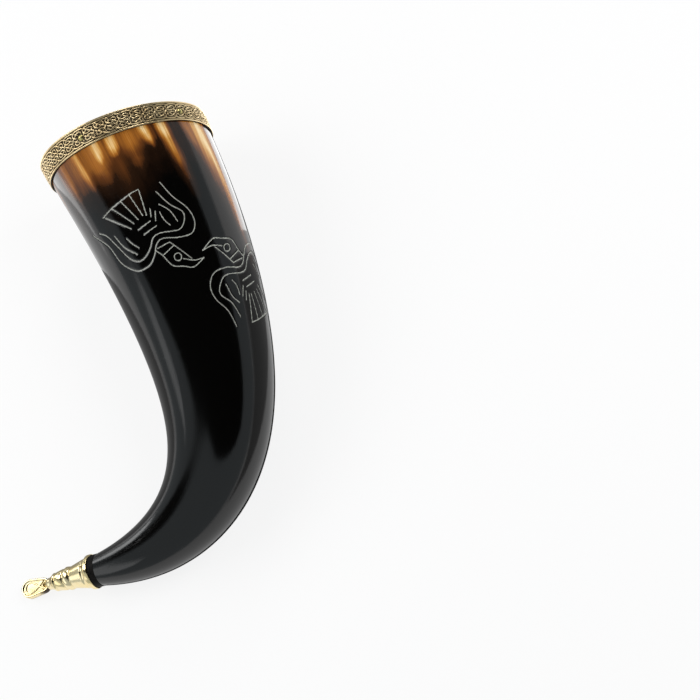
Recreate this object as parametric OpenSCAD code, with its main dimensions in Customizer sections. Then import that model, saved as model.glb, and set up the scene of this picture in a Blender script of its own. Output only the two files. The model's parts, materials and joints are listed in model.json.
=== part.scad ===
// Drinking horn with a brass rim band and a cast brass tip, lying on its side.
// Everything is first drawn in the mouth's own frame: the centre of the mouth is the origin, the horn
// leaves along -Y, bends towards -X, and +Z is the decorated side. rest_pose() then lays it down.

/* [Horn] */
// Length of the centre line, from the mouth to the lip of the ferrule
horn_length = 229; // [200:1:260]
// Outside diameter at the mouth, under the band
mouth_d = 73.6; // [66:0.2:80]
// Outside diameter half way along the centre line
middle_d = 52.2; // [46:0.2:56]
// Outside diameter at the lip of the ferrule
tip_d = 13; // [11:0.2:13.4]
// Wall thickness at the mouth
wall_mouth = 3; // [2:0.1:4]
// Wall thickness near the end of the hollow
wall_deep = 6; // [4:0.1:8]
// Depth of the hollow along the centre line
hollow_depth = 176; // [140:1:185]
// Length of the rounded end of the hollow
hollow_nose = 14; // [8:1:20]

/* [Curve] */
// Even bend spread over the whole horn, in degrees
slow_bend = 21; // [10:1:30]
// Sharper bend near the tip, in degrees
main_bend = 98; // [80:1:110]
// Distance of the sharper bend from the mouth, along the centre line
bend_at = 175; // [160:1:185]
// Half length over which the sharper bend builds up
bend_spread = 25; // [20:1:32]
// How far the tip curls out of the plane of the bend, in degrees
tip_curl = 21; // [10:1:26]
// Slant of the mouth, longer on the inside of the bend, in degrees
mouth_slant = 8; // [0:0.5:14]

/* [Rim band] */
// Height of the band
band_height = 9.5; // [7:0.1:14]
// Thickness of the strip in its sunk field
strip_thickness = 0.6; // [0.4:0.05:1]
// How far the plain borders stand out of the field
border_proud = 0.35; // [0.2:0.05:0.6]
// Height of the upper border
top_border = 1.2; // [0.8:0.1:2]
// Height of the lower border
low_border = 0.8; // [0.5:0.1:1.5]
// Thickness of the edge that is turned over the mouth
lip_thickness = 0.8; // [0.5:0.1:1.2]

/* [Rim nails] */
// Diameter of a nail's domed head
nail_head_d = 2.6; // [2:0.1:3.4]
// Height of the dome
nail_head_h = 0.7; // [0.4:0.05:0.75]
// Diameter of a nail's shank
nail_shank_d = 1.1; // [0.8:0.1:1.4]
// Length of the shank under the head
nail_length = 2.5; // [1.8:0.1:2.6]
// First front nail, degrees round the mouth from the decorated side
nail_first = -24; // [-40:1:-10]
// Angle between the two front nails
nail_front_gap = 73; // [60:1:90]

/* [Tip ferrule] */
// Diameter of the collar round the lip
collar_d = 15.4; // [14.8:0.1:17]
// Length of the straight collar
collar_length = 1.8; // [1.4:0.1:2.4]
// Diameter where the hollow behind the collar ends
waist_d = 12.7; // [12.2:0.1:13.4]
// Length of the hollow behind the collar
hollow_length = 2.2; // [1.6:0.1:3]
// Diameter at the far end of the cone
cone_end_d = 10; // [9:0.1:10.6]
// Diameter of the stem before the neck
stem_d = 8; // [7:0.1:9]
// Distance from the lip to the end of the cone
cone_length = 11; // [10.6:0.1:13]
// Length of the ring between cone and stem
ring_length = 3.6; // [3:0.1:5]
// How far the ring swells out of the cone
ring_swell = 0.25; // [0.1:0.05:0.5]
// Length of the stem
stem_length = 5.4; // [4:0.1:8]
// Length of the neck between stem and end plate
neck_length = 3; // [2:0.1:4]
// Smallest diameter of the neck
neck_d = 5.4; // [4:0.1:6.4]
// Depth of the turned grooves
groove_depth = 0.35; // [0.2:0.05:0.45]
// Width of the turned grooves
groove_width = 0.8; // [0.5:0.1:1.2]

/* [End plate] */
// Length of the oval end plate
plate_length = 14.2; // [11:0.1:16]
// Width of the plate at its far end
plate_wide = 8.4; // [7:0.1:10]
// Width of the plate at its near end
plate_narrow = 6.6; // [5.4:0.1:7]
// Thickness of the plate
plate_thickness = 3; // [2.4:0.1:4]
// Width of the raised border on the plate's face
plate_border = 0.9; // [0.6:0.1:1.4]
// Depth of the sunk face inside the border
plate_sink = 0.5; // [0.3:0.1:0.9]
// Turn of the plate about the ferrule's axis, in degrees
plate_roll = -10; // [-30:1:30]

/* [Tip joint] */
// Diameter of the socket at the lip
socket_d = 13.8; // [13.6:0.1:14]
// Diameter at the bottom of the socket
socket_end_d = 6.8; // [5:0.1:7.2]
// Depth of the socket
socket_depth = 9.8; // [8:0.1:10.2]
// Thickness of the bedding between spigot and socket
bedding_thickness = 0.4; // [0.2:0.05:0.5]
// Length of the bedding's fillet along the horn, outside the lip
fillet_length = 3; // [2:0.1:4]
// Width of the bedding's fillet on the lip
fillet_width = 0.3; // [0.2:0.05:0.5]
// Diameter of the cross pin
pin_d = 1.2; // [0.8:0.1:1.5]
// Distance of the cross pin from the lip
pin_at = 3; // [2.6:0.1:3.4]
// How far the pin's end stands out of the ferrule
pin_proud = 0.25; // [0.1:0.05:0.4]
// Depth of the cross pin inside the socket wall
pin_bite = 3; // [2:0.1:3.6]
// Angle of the cross pin round the ferrule, in degrees
pin_turn = -20; // [-60:1:60]

/* [Fit] */
// Gap left between pieces that touch
fit_gap = 0.05; // [0.03:0.01:0.1]

/* [Hidden] */
$fn = 96;

// Colours
horn_colour = "#26211d";
band_colour = "#8d6b35";
nail_colour = "#b59a4d";
ferrule_colour = "#c9a04a";
pin_colour = "#7a5a2a";
bedding_colour = "#15120f";

// Counts for the curved surface
sides = 40;
path_steps = 230;
outer_rings = 42;
inner_rings = 32;
nose_rings = 5;

// The slant lifts the band's edges on one side by slant_drop and drops them as much on the other
band_r = mouth_d / 2 + fit_gap + strip_thickness + border_proud;
band_drop = band_height / cos(mouth_slant);
slant_drop = tan(mouth_slant) * band_r;
// The horn is straight where the band and the ferrule sit on it, and a little past them
seat_margin = 2;
seat_length = band_drop + slant_drop + seat_margin;
tip_seat = fillet_length + seat_margin;
// Rings next to the mouth lean with its slant and straighten out over this length
slant_reach = 70;
nail_count = 5;

// Form of the horn along its centre line
mouth_r = mouth_d / 2;
tip_r = tip_d / 2;
taper_linear = 4 * (mouth_r - middle_d / 2) - (mouth_r - tip_r);
taper_square = (mouth_r - tip_r) - taper_linear;
mouth_slope = taper_linear / horn_length;

function outer_r(s) = mouth_r - taper_linear * s / horn_length - taper_square * pow(s / horn_length, 2);
function wall(s) = wall_mouth + (wall_deep - wall_mouth) * max(s, 0) / hollow_depth;
function nose_factor(s) =
    s <= hollow_depth - hollow_nose
        ? 1
        : sqrt(max(0, 1 - pow((s - hollow_depth + hollow_nose) / hollow_nose, 2)));
function inner_r(s) = (outer_r(s) - wall(s)) * nose_factor(s);

// Curve of the centre line
function logistic(x) = 1 / (1 + exp(-x));
function bent_part(s) = min(max(s, seat_length), horn_length - tip_seat);
function along_bend(s) = (bent_part(s) - seat_length) / (horn_length - seat_length);
function bend_share(s) = logistic((s - bend_at) / bend_spread);
function sharp_part(s) = bend_share(bent_part(s)) - bend_share(seat_length);
function turn(s) = slow_bend * along_bend(s) + main_bend * sharp_part(s);
function heading(s) = -90 - turn(s);
function rise(s) = -tip_curl * pow(along_bend(s), 2);
function direction(s) =
    let (a = heading(s), e = rise(s))
    [cos(e) * cos(a), cos(e) * sin(a), sin(e)];
path_step = horn_length / path_steps;
function step_from(i) = path_step * direction((i + 0.5) * path_step);
path = [for (i = 0, p = [0, 0, 0]; i <= path_steps; p = p + step_from(i), i = i + 1) p];
function centre(s) =
    s <= 0
        ? [0, -s, 0]
        : s >= horn_length
            ? path[path_steps] + (s - horn_length) * direction(horn_length)
            : let (k = s / path_step, i = floor(k))
              path[i] + (k - i) * (path[i + 1] - path[i]);
function side_way(s) = [-sin(heading(s)), cos(heading(s)), 0];
function up_way(s) = cross(direction(s), side_way(s));
function round_way(s, angle) = cos(angle) * side_way(s) + sin(angle) * up_way(s);
function ring_point(s, r, angle) = centre(s) + r * round_way(s, angle);

// The horn ends under the lip of the band, on the slanted plane of the mouth
mouth_cut = (lip_thickness + fit_gap) / cos(mouth_slant);
function lean(s) = pow(max(0, 1 - (s - mouth_cut) / slant_reach), 2);
function slanted(s, r, angle) = s + lean(s) * tan(mouth_slant) * r * cos(angle);

// Spigot at the tip, parallel to the socket in the ferrule
spigot_end_d = socket_end_d - 2 * (bedding_thickness + fit_gap);
spigot_length = socket_depth - bedding_thickness;

function outer_s(i) = mouth_cut + (horn_length - mouth_cut) * i / outer_rings;
function inner_s(i) =
    i <= inner_rings
        ? mouth_cut + (hollow_depth - hollow_nose - mouth_cut) * i / inner_rings
        : hollow_depth - hollow_nose * (1 - sin(90 * (i - inner_rings) / (nose_rings + 1)));
angles = [for (j = [0 : sides - 1]) 360 * j / sides];
function skin_ring(s, inside) = [
    for (a = angles)
        let (
            first = slanted(s, inside ? inner_r(s) : outer_r(s), a),
            r = inside ? inner_r(first) : outer_r(first),
            place = slanted(s, r, a)
        )
        ring_point(place, r, a)
];
function plain_ring(s, r) = [for (a = angles) ring_point(s, r, a)];

function joined(lists) = [for (l = lists) for (p = l) p];
// Two triangles for each patch between ring a and ring b
function strip_faces(a, b) = joined([
    for (j = [0 : sides - 1])
        let (k = (j + 1) % sides)
        [
            [a * sides + j, a * sides + k, b * sides + k],
            [a * sides + j, b * sides + k, b * sides + j]
        ]
]);

// Rest pose: the band, the belly and the end plate touch the ground. A ring is [centre, axis, radius].
function lowest_on_ring(ring, up) =
    let (across = up - (up * ring[1]) * ring[1])
    ring[0] - ring[2] * across / norm(across);
function lowest(rings, up) =
    let (
        points = [for (ring = rings) lowest_on_ring(ring, up)],
        heights = [for (p = points) p * up],
        least = min(heights)
    )
    [for (i = [0 : len(points) - 1]) if (heights[i] <= least) points[i]][0];
function settled(up, rounds) =
    rounds <= 0
        ? up
        : let (
            a = lowest(rim_circles, up),
            b = lowest(belly_circles, up),
            c = lowest(tip_circles, up),
            normal = cross(b - a, c - a)
          )
          settled(normal * sign(normal[2]) / norm(normal), rounds - 1);
settle_rounds = 12;

function band_circle(y) = [[0, y, 0], [sin(mouth_slant), cos(mouth_slant), 0], band_r + mouth_slope * y];
rim_circles = [band_circle(0), band_circle(-band_drop)];
belly_start = 2 * seat_length;
belly_end = horn_length - 4 * tip_seat;
belly_circles = [for (s = [belly_start : 2 : belly_end]) [centre(s), direction(s), outer_r(s)]];

tip_way = direction(horn_length);
tip_side = side_way(horn_length);
tip_up = up_way(horn_length);
lip_centre = centre(horn_length);
neck_start = cone_length + ring_length + stem_length;
plate_start = neck_start + neck_length;
plate_end = plate_start + plate_length;
plate_wide_at = plate_end - plate_wide / 2;
plate_narrow_at = plate_start + plate_narrow / 2;
plate_up = cos(plate_roll) * tip_up + sin(plate_roll) * tip_side;
function plate_circle(at, d, h) = [lip_centre + at * tip_way + h * plate_up, plate_up, d / 2];
plate_circles = [
    for (h = [-plate_thickness / 2, plate_thickness / 2])
        for (end = [[plate_wide_at, plate_wide], [plate_narrow_at, plate_narrow]])
            plate_circle(end[0], end[1], h)
];
collar_circles = [for (at = [0, collar_length]) [lip_centre + at * tip_way, tip_way, collar_d / 2]];
tip_circles = concat(plate_circles, collar_circles);

rest_z = settled([0, 0, 1], settle_rounds);
mouth_flat = [0, 1, 0] - rest_z[1] * rest_z;
rest_y = mouth_flat / norm(mouth_flat);
rest_x = cross(rest_y, rest_z);
all_circles = concat(rim_circles, belly_circles, tip_circles);
function reach(way, side) = [
    for (c = all_circles) c[0] * way + side * c[2] * sqrt(max(0, 1 - pow(c[1] * way, 2)))
];
function middle_of(way) = (min(reach(way, -1)) + max(reach(way, 1))) / 2;
rest_shift = [-middle_of(rest_x), -middle_of(rest_y), -min(reach(rest_z, -1))];

module rest_pose() {
    multmatrix([
        [rest_x[0], rest_x[1], rest_x[2], rest_shift[0]],
        [rest_y[0], rest_y[1], rest_y[2], rest_shift[1]],
        [rest_z[0], rest_z[1], rest_z[2], rest_shift[2]],
        [0, 0, 0, 1]
    ])
        children();
}

// At the mouth +Z points out of the horn and +X to the outside of the bend
module at_mouth() {
    rotate([-90, 0, 0])
        children();
}

// At the tip +Z points away from the horn, along the ferrule
module at_tip() {
    translate(lip_centre)
        rotate([0, 90 - rise(horn_length), heading(horn_length)])
            children();
}

// The slice between two depths below the slanted plane of the mouth
module mouth_slice(top, bottom) {
    rotate([0, mouth_slant, 0])
        translate([0, 0, -bottom])
            cylinder(r = mouth_d, h = bottom - top);
}

// A tapered ring round the mouth that follows the horn's own taper
module tapered_ring(inside, outside) {
    half = band_height + 2 * slant_drop;
    flare = mouth_slope * half;
    rotate_extrude()
        polygon([
            [inside - flare, -half],
            [outside - flare, -half],
            [outside + flare, half],
            [inside + flare, half]
        ]);
}

// Nails stand square to the band, half way up its field
nail_depth = (top_border + band_height - low_border) / 2;
field_r = mouth_r + fit_gap + strip_thickness;
nail_angles = [
    for (i = [0 : nail_count - 1])
        let (back_gap = (360 - nail_front_gap) / (nail_count - 1))
        i == 0 ? nail_first - 90 : nail_first - 90 + nail_front_gap + (i - 1) * back_gap
];
module at_nails() {
    for (a = nail_angles) {
        height = -nail_depth / cos(mouth_slant) - tan(mouth_slant) * field_r * cos(a);
        rotate([0, 0, a])
            translate([field_r + mouth_slope * height, 0, height])
                rotate([0, 90 + atan(mouth_slope), 0])
                    children();
    }
}
module nail_holes() {
    drill_d = nail_shank_d + 2 * fit_gap;
    drill_length = nail_length + fit_gap;
    at_mouth()
        at_nails()
            translate([0, 0, -drill_length])
                cylinder(d = drill_d, h = drill_length + border_proud);
}

// The pin crosses the ferrule's wall, the bedding and one side of the spigot
socket_slope = (socket_d - socket_end_d) / 2 / socket_depth;
pin_inner = socket_d / 2 - socket_slope * pin_at - pin_bite;
module at_pin() {
    at_tip()
        rotate([0, 0, 180 - pin_turn])
            translate([0, 0, pin_at])
                rotate([0, 90, 0])
                    children();
}
module pin_hole() {
    at_pin()
        translate([0, 0, pin_inner - fit_gap])
            cylinder(d = pin_d + 2 * fit_gap, h = collar_d);
}

module horn_skin() {
    outer = [for (i = [0 : outer_rings]) skin_ring(outer_s(i), false)];
    spigot = [plain_ring(horn_length + spigot_length, spigot_end_d / 2)];
    inner = [for (i = [0 : inner_rings + nose_rings]) skin_ring(inner_s(i), true)];
    rings = concat(outer, spigot, inner);
    points = concat(joined(rings), [centre(horn_length + spigot_length), centre(hollow_depth)]);
    spigot_ring = len(outer);
    first_inner = spigot_ring + 1;
    last_inner = len(rings) - 1;
    spigot_point = len(rings) * sides;
    nose_point = spigot_point + 1;
    outside = joined([for (i = [0 : spigot_ring - 1]) strip_faces(i, i + 1)]);
    inside = joined([for (i = [first_inner : last_inner - 1]) strip_faces(i + 1, i)]);
    spigot_end = [
        for (j = [0 : sides - 1])
            [spigot_ring * sides + j, spigot_ring * sides + (j + 1) % sides, spigot_point]
    ];
    nose_end = [
        for (j = [0 : sides - 1])
            [last_inner * sides + (j + 1) % sides, last_inner * sides + j, nose_point]
    ];
    polyhedron(points, concat(outside, spigot_end, inside, nose_end, strip_faces(first_inner, 0)));
}

module horn_body() {
    color(horn_colour)
        rest_pose()
            difference() {
                horn_skin();
                nail_holes();
                pin_hole();
            }
}

module rim_band() {
    seat_r = mouth_r + fit_gap;
    color(band_colour)
        rest_pose()
            difference() {
                at_mouth() {
                    intersection() {
                        tapered_ring(seat_r, field_r);
                        mouth_slice(0, band_height);
                    }
                    intersection() {
                        tapered_ring(seat_r, band_r);
                        union() {
                            mouth_slice(0, top_border);
                            mouth_slice(band_height - low_border, band_height);
                        }
                    }
                    intersection() {
                        tapered_ring(mouth_r - wall_mouth, band_r);
                        mouth_slice(0, lip_thickness);
                    }
                }
                nail_holes();
            }
}

module rim_nails() {
    dome_r = (pow(nail_head_d / 2, 2) + pow(nail_head_h, 2)) / (2 * nail_head_h);
    color(nail_colour)
        rest_pose()
            at_mouth()
                at_nails() {
                    translate([0, 0, -nail_length])
                        cylinder(d = nail_shank_d, h = nail_length + nail_head_h / 2);
                    intersection() {
                        translate([0, 0, nail_head_h - dome_r])
                            sphere(r = dome_r);
                        cylinder(d = nail_head_d, h = 2 * nail_head_h);
                    }
                }
}

// Outline of the end plate, drawn in from its edge by inset. The straight sides run a hair inside the two
// round ends' common tangents, so that they cross the rounds cleanly.
side_bite = 0.05;
module plate_outline(inset) {
    wide_r = plate_wide / 2 - inset;
    narrow_r = plate_narrow / 2 - inset;
    apart = plate_wide_at - plate_narrow_at;
    lean = asin((wide_r - narrow_r) / apart);
    function side_corner(r, at) = [(r - side_bite) * cos(lean), at - (r - side_bite) * sin(lean)];
    right = [side_corner(wide_r, plate_wide_at), side_corner(narrow_r, plate_narrow_at)];
    left = [for (corner = right) [-corner[0], corner[1]]];
    translate([0, plate_wide_at])
        circle(r = wide_r);
    translate([0, plate_narrow_at])
        circle(r = narrow_r);
    polygon([right[0], left[0], left[1], right[1]]);
}

// The plate lies across the ferrule's +Z axis with its face towards -X before the roll
module end_plate(inset, from, to) {
    rotate([0, 0, -plate_roll])
        rotate([0, -90, 0])
            rotate([0, 0, -90])
                translate([0, 0, from])
                    linear_extrude(to - from)
                        plate_outline(inset);
}

// Hollow between the collar and the cone, drawn as a quarter of an ellipse
hollow_points = 8;
collar_hollow = [
    for (i = [0 : hollow_points])
        let (a = 90 * i / hollow_points)
        [
            collar_d / 2 - (collar_d - waist_d) / 2 * sin(a),
            collar_length + hollow_length * (1 - cos(a))
        ]
];
// The neck narrows evenly to its waist and opens again to the plate
neck_points = 8;
neck_curve = [
    for (i = [0 : neck_points])
        let (a = 90 * i / neck_points)
        [stem_d / 2 - (stem_d - neck_d) / 2 * sin(a), neck_start + neck_length * i / neck_points]
];

module groove(at, d) {
    translate([0, 0, at - groove_width / 2])
        difference() {
            cylinder(d = 2 * collar_d, h = groove_width);
            cylinder(d = d - 2 * groove_depth, h = groove_width);
        }
}

module ferrule_turned() {
    root_at = plate_start + plate_narrow / 2;
    root_r = plate_thickness / 2 - plate_sink;
    difference() {
        rotate_extrude()
            polygon(concat(
                [[0, 0], [collar_d / 2, 0]],
                collar_hollow,
                [
                    [cone_end_d / 2, cone_length],
                    [cone_end_d / 2 + ring_swell, cone_length + ring_length / 2],
                    [(cone_end_d + stem_d) / 4 + ring_swell, cone_length + ring_length]
                ],
                neck_curve,
                [[root_r, root_at], [0, root_at]]
            ));
        groove(cone_length, cone_end_d);
        groove(cone_length + ring_length, (cone_end_d + stem_d) / 2);
        groove(neck_start - groove_width, stem_d);
    }
}

module tip_ferrule() {
    color(ferrule_colour)
        rest_pose()
            difference() {
                at_tip()
                    difference() {
                        union() {
                            ferrule_turned();
                            end_plate(0, -plate_thickness / 2, plate_thickness / 2);
                        }
                        cylinder(d1 = socket_d, d2 = socket_end_d, h = socket_depth);
                        end_plate(plate_border, plate_thickness / 2 - plate_sink, plate_thickness);
                    }
                pin_hole();
            }
}

module tip_pin() {
    outer_end = waist_d / 2 + pin_proud;
    color(pin_colour)
        rest_pose()
            at_pin()
                translate([0, 0, pin_inner])
                    cylinder(d = pin_d, h = outer_end - pin_inner);
}

module tip_bedding() {
    fillet_r = socket_d / 2 + fillet_width;
    horn_r = outer_r(horn_length - fillet_length) + fit_gap;
    color(bedding_colour)
        rest_pose()
            difference() {
                at_tip()
                    rotate_extrude()
                        polygon([
                            [0, spigot_length + fit_gap],
                            [spigot_end_d / 2 + fit_gap, spigot_length + fit_gap],
                            [tip_r + fit_gap, 0],
                            [horn_r, -fillet_length],
                            [horn_r + fit_gap, -fillet_length],
                            [fillet_r, -fit_gap],
                            [socket_d / 2 - fit_gap, -fit_gap],
                            [socket_end_d / 2 - fit_gap, socket_depth - fit_gap],
                            [0, socket_depth - fit_gap]
                        ]);
                pin_hole();
            }
}

horn_body();
rim_band();
rim_nails();
tip_ferrule();
tip_pin();
tip_bedding();
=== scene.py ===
"""Looks of a drinking horn: polished dark horn with two engraved birds, a knotwork rim band and a brass tip.

Shapes are worked out in millimetres in the mouth's own frame, as the solids are: the centre of the mouth is
the origin, the horn leaves along -Y, bends towards -X, and +Z is the decorated side. in_row() then turns
points into metres in the row frame, and nothing is fitted by hand.
"""
import json
import math

import bmesh
import bpy
import numpy as np
from mathutils import Matrix, Vector


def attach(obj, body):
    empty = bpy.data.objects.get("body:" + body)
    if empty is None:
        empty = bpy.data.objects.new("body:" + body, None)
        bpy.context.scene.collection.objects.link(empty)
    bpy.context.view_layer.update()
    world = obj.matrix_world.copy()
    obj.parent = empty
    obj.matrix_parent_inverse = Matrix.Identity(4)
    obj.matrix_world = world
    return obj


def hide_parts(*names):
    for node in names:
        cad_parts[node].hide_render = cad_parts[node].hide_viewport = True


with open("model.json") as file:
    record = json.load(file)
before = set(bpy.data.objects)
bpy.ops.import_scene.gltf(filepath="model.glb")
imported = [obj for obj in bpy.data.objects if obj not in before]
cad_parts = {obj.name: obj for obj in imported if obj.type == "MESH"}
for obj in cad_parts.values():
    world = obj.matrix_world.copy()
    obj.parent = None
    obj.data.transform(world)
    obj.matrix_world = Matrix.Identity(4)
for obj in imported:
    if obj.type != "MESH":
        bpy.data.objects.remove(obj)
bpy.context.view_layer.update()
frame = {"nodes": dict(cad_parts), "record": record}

# Sizes of the solids that the looks follow, in millimetres and degrees
HORN_LENGTH = 229.0
MOUTH_R = 36.8
MIDDLE_R = 26.1
TIP_R = 6.5
WALL_MOUTH = 3.0
WALL_DEEP = 6.0
HOLLOW_DEPTH = 176.0
HOLLOW_NOSE = 14.0
SLOW_BEND = 21.0
MAIN_BEND = 98.0
BEND_AT = 175.0
BEND_SPREAD = 25.0
TIP_CURL = 21.0
SLANT = math.radians(8.0)
SLANT_REACH = 70.0
BAND_HEIGHT = 9.5
STRIP_THICKNESS = 0.6
BORDER_PROUD = 0.35
TOP_BORDER = 1.2
LOW_BORDER = 0.8
LIP_THICKNESS = 0.8
FIT_GAP = 0.05
SEAT_MARGIN = 2.0
FILLET_LENGTH = 3.0
SOCKET_R = 6.9
SPIGOT_END_R = 2.95
SPIGOT_LENGTH = 9.4

# Worked out from them
SEAT_R = MOUTH_R + FIT_GAP
FIELD_R = SEAT_R + STRIP_THICKNESS
BAND_R = FIELD_R + BORDER_PROUD
SEAT_LENGTH = BAND_HEIGHT / math.cos(SLANT) + math.tan(SLANT) * BAND_R + SEAT_MARGIN
TIP_SEAT = FILLET_LENGTH + SEAT_MARGIN
MOUTH_CUT = (LIP_THICKNESS + FIT_GAP) / math.cos(SLANT)
TAPER_LINEAR = 4 * (MOUTH_R - MIDDLE_R) - (MOUTH_R - TIP_R)
TAPER_SQUARE = (MOUTH_R - TIP_R) - TAPER_LINEAR
MOUTH_SLOPE = TAPER_LINEAR / HORN_LENGTH


# The horn's form along its centre line

def outer_r(s):
    share = s / HORN_LENGTH
    return MOUTH_R - TAPER_LINEAR * share - TAPER_SQUARE * share**2


def inner_r(s):
    wall = WALL_MOUTH + (WALL_DEEP - WALL_MOUTH) * np.maximum(s, 0) / HOLLOW_DEPTH
    into_nose = np.clip((s - HOLLOW_DEPTH + HOLLOW_NOSE) / HOLLOW_NOSE, 0, 1)
    return (outer_r(s) - wall) * np.sqrt(1 - into_nose**2)


def bent_part(s):
    return np.clip(s, SEAT_LENGTH, HORN_LENGTH - TIP_SEAT)


def along_bend(s):
    return (bent_part(s) - SEAT_LENGTH) / (HORN_LENGTH - SEAT_LENGTH)


def bend_share(s):
    return 1 / (1 + np.exp((BEND_AT - s) / BEND_SPREAD))


def heading(s):
    sharp = bend_share(bent_part(s)) - bend_share(SEAT_LENGTH)
    return np.radians(-90 - SLOW_BEND * along_bend(s) - MAIN_BEND * sharp)


def direction(s):
    turn = heading(s)
    rise = np.radians(-TIP_CURL * along_bend(s) ** 2)
    return np.stack([np.cos(rise) * np.cos(turn), np.cos(rise) * np.sin(turn), np.sin(rise)], -1)


def side_way(s):
    turn = heading(s)
    return np.stack([-np.sin(turn), np.cos(turn), 0 * turn], -1)


def up_way(s):
    return np.cross(direction(s), side_way(s))


PATH_S = np.arange(0, HORN_LENGTH + 1)
PATH = np.vstack([np.zeros(3), np.cumsum(direction(PATH_S[:-1] + 0.5), axis=0)])


def centre(s):
    on_path = np.stack([np.interp(s, PATH_S, PATH[:, i]) for i in range(3)], -1)
    before = np.maximum(-s, 0)[..., None] * np.array([0, 1, 0])
    after = np.maximum(s - HORN_LENGTH, 0)[..., None] * direction(np.array(HORN_LENGTH))
    return on_path + before + after


def ring_point(s, r, angle):
    outward = np.cos(angle)[..., None] * side_way(s) + np.sin(angle)[..., None] * up_way(s)
    return centre(s) + r[..., None] * outward


def leaned(s, radius_at, angle):
    """Place along the horn and radius of a skin point: rings near the mouth lean with its slant."""
    lean = math.tan(SLANT) * np.maximum(0, 1 - (s - MOUTH_CUT) / SLANT_REACH) ** 2
    first = s + lean * radius_at(s) * np.cos(angle)
    r = radius_at(first)
    return s + lean * r * np.cos(angle), r


# From the mouth's frame to the row frame: the record's two mounts give the turn and the shift

def two_way_axes(first, second):
    x = first / np.linalg.norm(first)
    z = np.cross(x, second)
    z = z / np.linalg.norm(z)
    return np.stack([x, np.cross(z, x), z])


mounts = {mount["name"]: mount for mount in frame["record"]["mounts"]}
mouth_way = np.array([math.sin(SLANT), math.cos(SLANT), 0])
tip_way = direction(np.array(HORN_LENGTH))
tip_side = side_way(np.array(HORN_LENGTH))
tip_up = up_way(np.array(HORN_LENGTH))
lip_centre = centre(np.array(HORN_LENGTH))
row_axes = two_way_axes(np.array(mounts["rim_face"]["axis"]), np.array(mounts["ferrule_collar"]["axis"]))
to_row = row_axes.T @ two_way_axes(mouth_way, tip_way)
rim_middle = np.array([0, 0, (BAND_R + MOUTH_R - WALL_MOUTH) / 2])
row_shift = np.array(mounts["rim_face"]["pos_m"]) * 1000 - to_row @ rim_middle


def in_row(points):
    return (np.asarray(points) @ to_row.T + row_shift) / 1000


# Shader maths

class Value:
    """An output socket in a finish; arithmetic on it adds Math nodes."""

    def __init__(self, finish, socket):
        self.finish = finish
        self.socket = socket

    def __add__(self, other):
        return self.finish.math("ADD", self, other)

    def __sub__(self, other):
        return self.finish.math("SUBTRACT", self, other)

    def __rsub__(self, other):
        return self.finish.math("SUBTRACT", other, self)

    def __mul__(self, other):
        return self.finish.math("MULTIPLY", self, other)

    def __truediv__(self, other):
        return self.finish.math("DIVIDE", self, other)

    def __abs__(self):
        return self.finish.math("ABSOLUTE", self)

    __radd__ = __add__
    __rmul__ = __mul__


class Finish:
    """A material in the making, or the world: node() adds any node and math() the plain sums."""

    def __init__(self, owner):
        owner.use_nodes = True
        self.owner = owner
        self.tree = owner.node_tree
        self.tree.nodes.clear()

    def node(self, kind, settings=None, sockets=None, out=0):
        made = self.tree.nodes.new("ShaderNode" + kind)
        for name, setting in (settings or {}).items():
            if name == "stops":
                set_stops(made.color_ramp.elements, setting)
            else:
                setattr(made, name, setting)
        for key, value in (sockets or {}).items():
            if isinstance(value, Value):
                self.tree.links.new(value.socket, made.inputs[key])
            else:
                made.inputs[key].default_value = value
        return Value(self, made.outputs[out]) if len(made.outputs) else None

    def math(self, operation, *values):
        return self.node("Math", {"operation": operation}, dict(enumerate(values)))

    def mix(self, factor, colour_a, colour_b):
        return self.node("Mix", {"data_type": "RGBA"}, {0: factor, 6: colour_a, 7: colour_b}, out=2)

    def step(self, value, start, end):
        """0 before start and 1 past end, smoothly; start may be the larger one."""
        sockets = {"Value": value, "From Min": start, "From Max": end}
        return self.node("MapRange", {"interpolation_type": "SMOOTHSTEP"}, sockets)

    def noise(self, vector, scale, detail=3.0, roughness=0.5):
        sockets = {"Vector": vector, "Scale": scale, "Detail": detail, "Roughness": roughness}
        return self.node("TexNoise", sockets=sockets)

    def stretched(self, vector, factors):
        return self.node("VectorMath", {"operation": "MULTIPLY"}, {0: vector, 1: factors})

    def place(self):
        """Where a point is on the object, in metres."""
        return self.node("TexCoord", out="Object")

    def attribute(self, name, out="Fac"):
        return self.node("Attribute", {"attribute_name": name}, out=out)

    def ramp(self, value, stops):
        return self.node("ValToRGB", {"stops": stops}, {0: value})

    def bump(self, height, distance, strength=1.0):
        return self.node("Bump", sockets={"Height": height, "Distance": distance, "Strength": strength})

    def surface(self, **sockets):
        """Closes a material with one Principled shader; names are its sockets, with _ for a space."""
        named = {name.replace("_", " "): value for name, value in sockets.items()}
        self.close(self.node("BsdfPrincipled", sockets=named))
        return self.owner

    def close(self, shader):
        kind = "OutputWorld" if isinstance(self.owner, bpy.types.World) else "OutputMaterial"
        self.node(kind, sockets={"Surface": shader})


def set_stops(elements, stops):
    while len(elements) < len(stops):
        elements.new(1.0)
    for element, (position, colour) in zip(elements, stops):
        element.position = position
        element.color = (*colour, 1.0)


def rgba(*colour):
    return (*colour, 1.0)


# Meshes

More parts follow.
